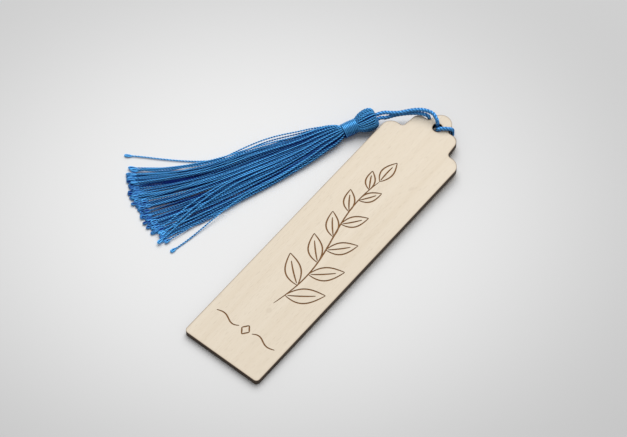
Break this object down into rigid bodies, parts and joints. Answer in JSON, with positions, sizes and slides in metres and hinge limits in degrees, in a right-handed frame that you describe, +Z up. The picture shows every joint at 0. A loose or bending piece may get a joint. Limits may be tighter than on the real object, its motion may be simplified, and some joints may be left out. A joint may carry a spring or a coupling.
{
  "type": "tasselled wooden bookmark",
  "caption": "Flat wooden bookmark tag with stepped shoulders and a round holed tab, a cord hitched through it, and a bound silky tassel that lies beside it.",
  "frame": {"origin": "on the table under the middle of the wooden tag", "axes": "+X across the tag, +Y along the tag towards the holed tab, +Z up from the table"},
  "size_m": [0.1208, 0.155, 0.0095],
  "materials": {
    "birch_face": "sanded, unvarnished",
    "birch_core": "laser-browned edge",
    "cord": "silky twisted cord",
    "tassel_floss": "silky twisted floss",
    "binding_thread": "silky thread"
  },
  "bodies": {
    "plate": {"back_veneer": "birch_face", "core_ply": "birch_core", "front_veneer": "birch_face", "hitch_cord": "cord"},
    "cord_loop": {"loop_strand_upper": "cord", "loop_strand_lower": "cord"},
    "tassel": {"hanger_knot": "cord", "head_core": "tassel_floss", "head_strands": "tassel_floss", "neck_core": "tassel_floss", "neck_binding": "binding_thread", "skirt_root": "tassel_floss", "skirt_strand_01": "tassel_floss", "skirt_strand_02": "tassel_floss", "skirt_strand_03": "tassel_floss", "skirt_strand_04": "tassel_floss", "skirt_strand_05": "tassel_floss", "skirt_strand_06": "tassel_floss", "skirt_strand_07": "tassel_floss", "skirt_strand_08": "tassel_floss", "skirt_strand_09": "tassel_floss", "skirt_strand_10": "tassel_floss", "skirt_strand_11": "tassel_floss", "skirt_strand_12": "tassel_floss", "skirt_strand_13": "tassel_floss", "skirt_strand_14": "tassel_floss", "skirt_strand_15": "tassel_floss", "skirt_strand_16": "tassel_floss", "skirt_strand_17": "tassel_floss", "skirt_strand_18": "tassel_floss", "skirt_strand_19": "tassel_floss", "skirt_strand_20": "tassel_floss", "skirt_strand_21": "tassel_floss", "skirt_strand_22": "tassel_floss", "skirt_strand_23": "tassel_floss", "skirt_strand_24": "tassel_floss", "skirt_strand_25": "tassel_floss", "skirt_strand_26": "tassel_floss", "skirt_strand_27": "tassel_floss", "skirt_strand_28": "tassel_floss", "skirt_strand_29": "tassel_floss", "skirt_strand_30": "tassel_floss", "skirt_strand_31": "tassel_floss", "skirt_strand_32": "tassel_floss", "skirt_strand_33": "tassel_floss", "skirt_strand_34": "tassel_floss", "skirt_strand_35": "tassel_floss", "skirt_strand_36": "tassel_floss", "skirt_strand_37": "tassel_floss", "skirt_strand_38": "tassel_floss", "skirt_strand_39": "tassel_floss", "skirt_strand_40": "tassel_floss"}
  },
  "joints": [
    {"name": "loop_lift", "type": "hinge", "parent": "plate", "child": "cord_loop", "pos_m": [-0.00343, 0.07167, 0.00499], "axis": [-0.9846, 0.1748, 0], "range_deg": [-90, 170], "deforming": ["loop_strand_upper", "loop_strand_lower"]},
    {"name": "tassel_swing", "type": "hinge", "parent": "cord_loop", "child": "tassel", "pos_m": [-0.024, 0.0585, 0.0055], "axis": [0, 0, 1], "range_deg": [-90, 0]}
  ]
}
